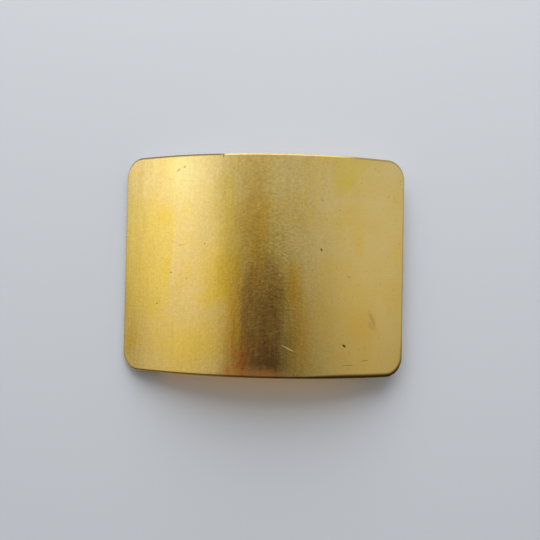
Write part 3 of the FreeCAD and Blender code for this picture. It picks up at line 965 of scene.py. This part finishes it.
def make_table():
    """The table the buckle lies on with its back, touching the plate's left edge and the hook's fold."""
    fold_outside = HOOK_FOLD_RADIUS + HOOK_THICKNESS / 2
    edge = Vector((plate_low.x, plate_high.y, 0))
    fold = Vector((hook_high.x - fold_outside, hook_high.y - fold_outside, 0))
    reach = fold - edge
    tilt = math.atan2(reach.y, reach.x) + math.asin(fold_outside / reach.length)
    half = TABLE_SIZE / 2
    corners = [(-half, 0, -half), (half, 0, -half), (half, 0, half), (-half, 0, half)]
    turn = Matrix.Translation(edge) @ Matrix.Rotation(tilt, 4, "Z")
    table = mesh_object("table", [turn @ Vector(c) for c in corners], [(0, 1, 2, 3)], table_top(), False)
    for ray in ("diffuse", "glossy", "transmission", "shadow"):
        setattr(table, f"visible_{ray}", False)


# Where the camera stands from the crown of the plate, and how the buckle lies turned to it
CAMERA_HEIGHT = 131.4
CAMERA_LENS = 36               # on a sensor as wide
CAMERA_SHIFT = (-2.35, 1.2)
BUCKLE_TURN = (-1.25, -2.8, -1.08)
# From the face's axes, with +Z off the face, to the row frame
FACE_TO_ROW = Matrix(((1, 0, 0, 0), (0, 0, -1, 0), (0, 1, 0, 0), (0, 0, 0, 1)))


def make_camera():
    """A camera above the face, as if the buckle lay turned a little under it."""
    camera = bpy.data.objects.new("camera", bpy.data.cameras.new("camera"))
    bpy.context.scene.collection.objects.link(camera)
    camera.data.sensor_width = CAMERA_LENS
    camera.data.lens = CAMERA_LENS
    camera.data.clip_start = 0.005
    turn_x, turn_y, turn_z = (math.radians(degrees) for degrees in BUCKLE_TURN)
    pose = Matrix.Rotation(turn_z, 4, "Z") @ Matrix.Rotation(turn_y, 4, "Y")
    pose = pose @ Matrix.Rotation(turn_x, 4, "X")
    crown = Matrix.Translation((0, plate_low.y * MM, 0))
    offset = Matrix.Translation(Vector((*CAMERA_SHIFT, -CAMERA_HEIGHT)) * MM)
    camera.matrix_world = crown @ FACE_TO_ROW @ (offset @ pose).inverted()
    bpy.context.scene.camera = camera


# Light in the room. Directions are in radians: the azimuth is from straight in front of the face towards
# +X, and the height is above level.
SLANT_HEIGHTS = (-0.15, 0.22)          # the window's inner edge slants between these heights
WINDOW_EDGE_STARTS = (0.02, -0.31)     # the azimuth where its light starts, at each of them
WINDOW_EDGE_ENDS = (-0.68, -0.62)      # and where it is full
PHONE_AZIMUTH = -0.04                  # a dim patch from whatever stood in front
WARM_BELOW = (1.0, 0.93, 0.74)
COOL_ABOVE = (0.97, 1.0, 1.10)


def make_world():
    """Soft room light: a window to the left, a paler wall to the right, and dimness in front and below.

    Light for diffuse rays, which is nearly all of the table's and hardly any of the metal's, is weighted
    once more, towards above and the right, to shape the shadow without changing the reflections.
    """
    world = bpy.data.worlds.new("room")
    bpy.context.scene.world = world
    t = Tree(world)
    x, y, z = t.split(t.add("ShaderNodeTexCoord", output="Generated"))
    azimuth = t.math("ARCTAN2", x, t.product(y, -1.0))
    height = t.math("ARCSINE", z)

    edge_start = t.step(height, *SLANT_HEIGHTS, *WINDOW_EDGE_STARTS)
    edge_end = t.step(height, *SLANT_HEIGHTS, *WINDOW_EDGE_ENDS)
    window = t.product(t.step(azimuth, edge_start, edge_end), t.step(azimuth, -1.32, -0.80, 0.30, 1.0))
    window = t.product(window, t.step(height, -0.45, 0.50, 0.45, 0.86))
    wall = t.product(t.step(azimuth, 0.02, 0.80), t.step(height, -0.10, 0.32, 0.31, 0.03))
    wall = t.product(wall, t.step(azimuth, 1.5, 1.0, 0.3, 1.0))
    from_phone = t.math("ABSOLUTE", t.math("SUBTRACT", azimuth, PHONE_AZIMUTH))
    phone = t.product(t.step(from_phone, 0.32, 0.10, 0.0, 0.92), t.step(height, 0.10, -0.08))
    middle = t.product(t.step(height, -0.25, 0.28, 0.13, 0.56), t.math("SUBTRACT", 1.0, phone))
    front = t.product(t.sum(window, wall, middle), t.step(height, -0.5, -0.20, 0.15, 1.0))
    ceiling = t.step(height, 0.40, 1.1)
    floor = t.step(height, -0.6, -1.1, 0.0, 0.35)
    front = t.sum(front, ceiling, floor)
    rear = t.sum(t.step(height, -0.8, 0.6, 0.14, 0.95), t.step(x, 0.2, -0.8, 0.0, 0.30))
    level = mix_value(t, t.step(y, -0.1, 0.3), front, rear)

    on_table = t.sum(t.step(height, -0.6, 0.3, 0.0, 0.98), (t.step(azimuth, 0.7, 1.4), 1.50))
    diffuse_ray = t.add("ShaderNodeLightPath", output="Is Diffuse Ray")
    level = t.product(level, mix_value(t, diffuse_ray, 1.0, on_table))
    colour = t.mix(t.step(height, -0.25, 0.25), WARM_BELOW, COOL_ABOVE)
    room = t.add("ShaderNodeBackground", {"Color": colour, "Strength": level})
    seen = t.add("ShaderNodeBackground", {"Color": (*BACKDROP, 1), "Strength": 1.0})
    camera_ray = t.add("ShaderNodeLightPath", output="Is Camera Ray")
    surface = t.add("ShaderNodeMixShader", {0: camera_ray, 1: room, 2: seen})
    t.add("ShaderNodeOutputWorld", {"Surface": surface})


def area_lamp(name, power, size, unseen_by):
    """A soft lamp that some kinds of rays don't see; its size is a pair in metres."""
    lamp = bpy.data.lights.new(name, "AREA")
    lamp.shape = "RECTANGLE"
    lamp.size, lamp.size_y = size
    lamp.energy = power
    lamp_object = bpy.data.objects.new(name, lamp)
    for ray in unseen_by:
        setattr(lamp_object, f"visible_{ray}", False)
    bpy.context.scene.collection.objects.link(lamp_object)
    return lamp_object


GLOW_SIZE = (52 * MM, 8 * MM)
GLOW_POWER = 0.0010
GLOW_COLOUR = (1.0, 0.52, 0.12)
GLOW_DEPTH = 6.0               # behind the crown
GLOW_RISE = 0.5                # above the lower edge


def make_arch_glow():
    """The light that comes out below, through the arch under the plate, tinted by its brass."""
    glow = area_lamp("arch_glow", GLOW_POWER, GLOW_SIZE, ("camera", "glossy"))
    glow.data.color = GLOW_COLOUR
    glow.location = Vector((0, plate_low.y + GLOW_DEPTH, plate_low.z + GLOW_RISE)) * MM


LAMP_PLACE = (0.01, -0.27, 0.42)       # in metres
LAMP_SIZE = (0.46, 0.46)
LAMP_POWER = 2.70


def make_lamp():
    """A large soft lamp in front and above, aimed at the buckle, which throws the shadow on the table."""
    lamp = area_lamp("soft_lamp", LAMP_POWER, LAMP_SIZE, ("glossy",))
    lamp.location = LAMP_PLACE
    lamp.rotation_mode = "QUATERNION"
    lamp.rotation_quaternion = Vector(LAMP_PLACE).to_track_quat("Z", "Y")


make_plate()
strip = strip_brass()
make_hook(strip)
make_ear("upper_ear_strip", "upper_ear", ear_centre, strip)
make_ear("lower_ear_strip", "lower_ear", -ear_centre, strip)
make_wire_frame()
make_prong()
solder = solder_grey()
hook_foot = (hook_start_angle, hook_fold_angle, hook_high.z, 0, HOOK_CORNER)
upper_ear_foot = (ear_angle, ear_end_angle, ear_half, ear_centre, EAR_CORNER)
lower_ear_foot = (ear_angle, ear_end_angle, ear_half, -ear_centre, EAR_CORNER)
make_bead("hook_bead", "hook_solder", 3, *hook_foot, solder)
make_bead("upper_ear_bead", "upper_ear_solder", 5, *upper_ear_foot, solder)
make_bead("lower_ear_bead", "lower_ear_solder", 8, *lower_ear_foot, solder)
make_table()
make_camera()
make_world()
make_lamp()
make_arch_glow()
bpy.context.scene.view_settings.view_transform = "Standard"
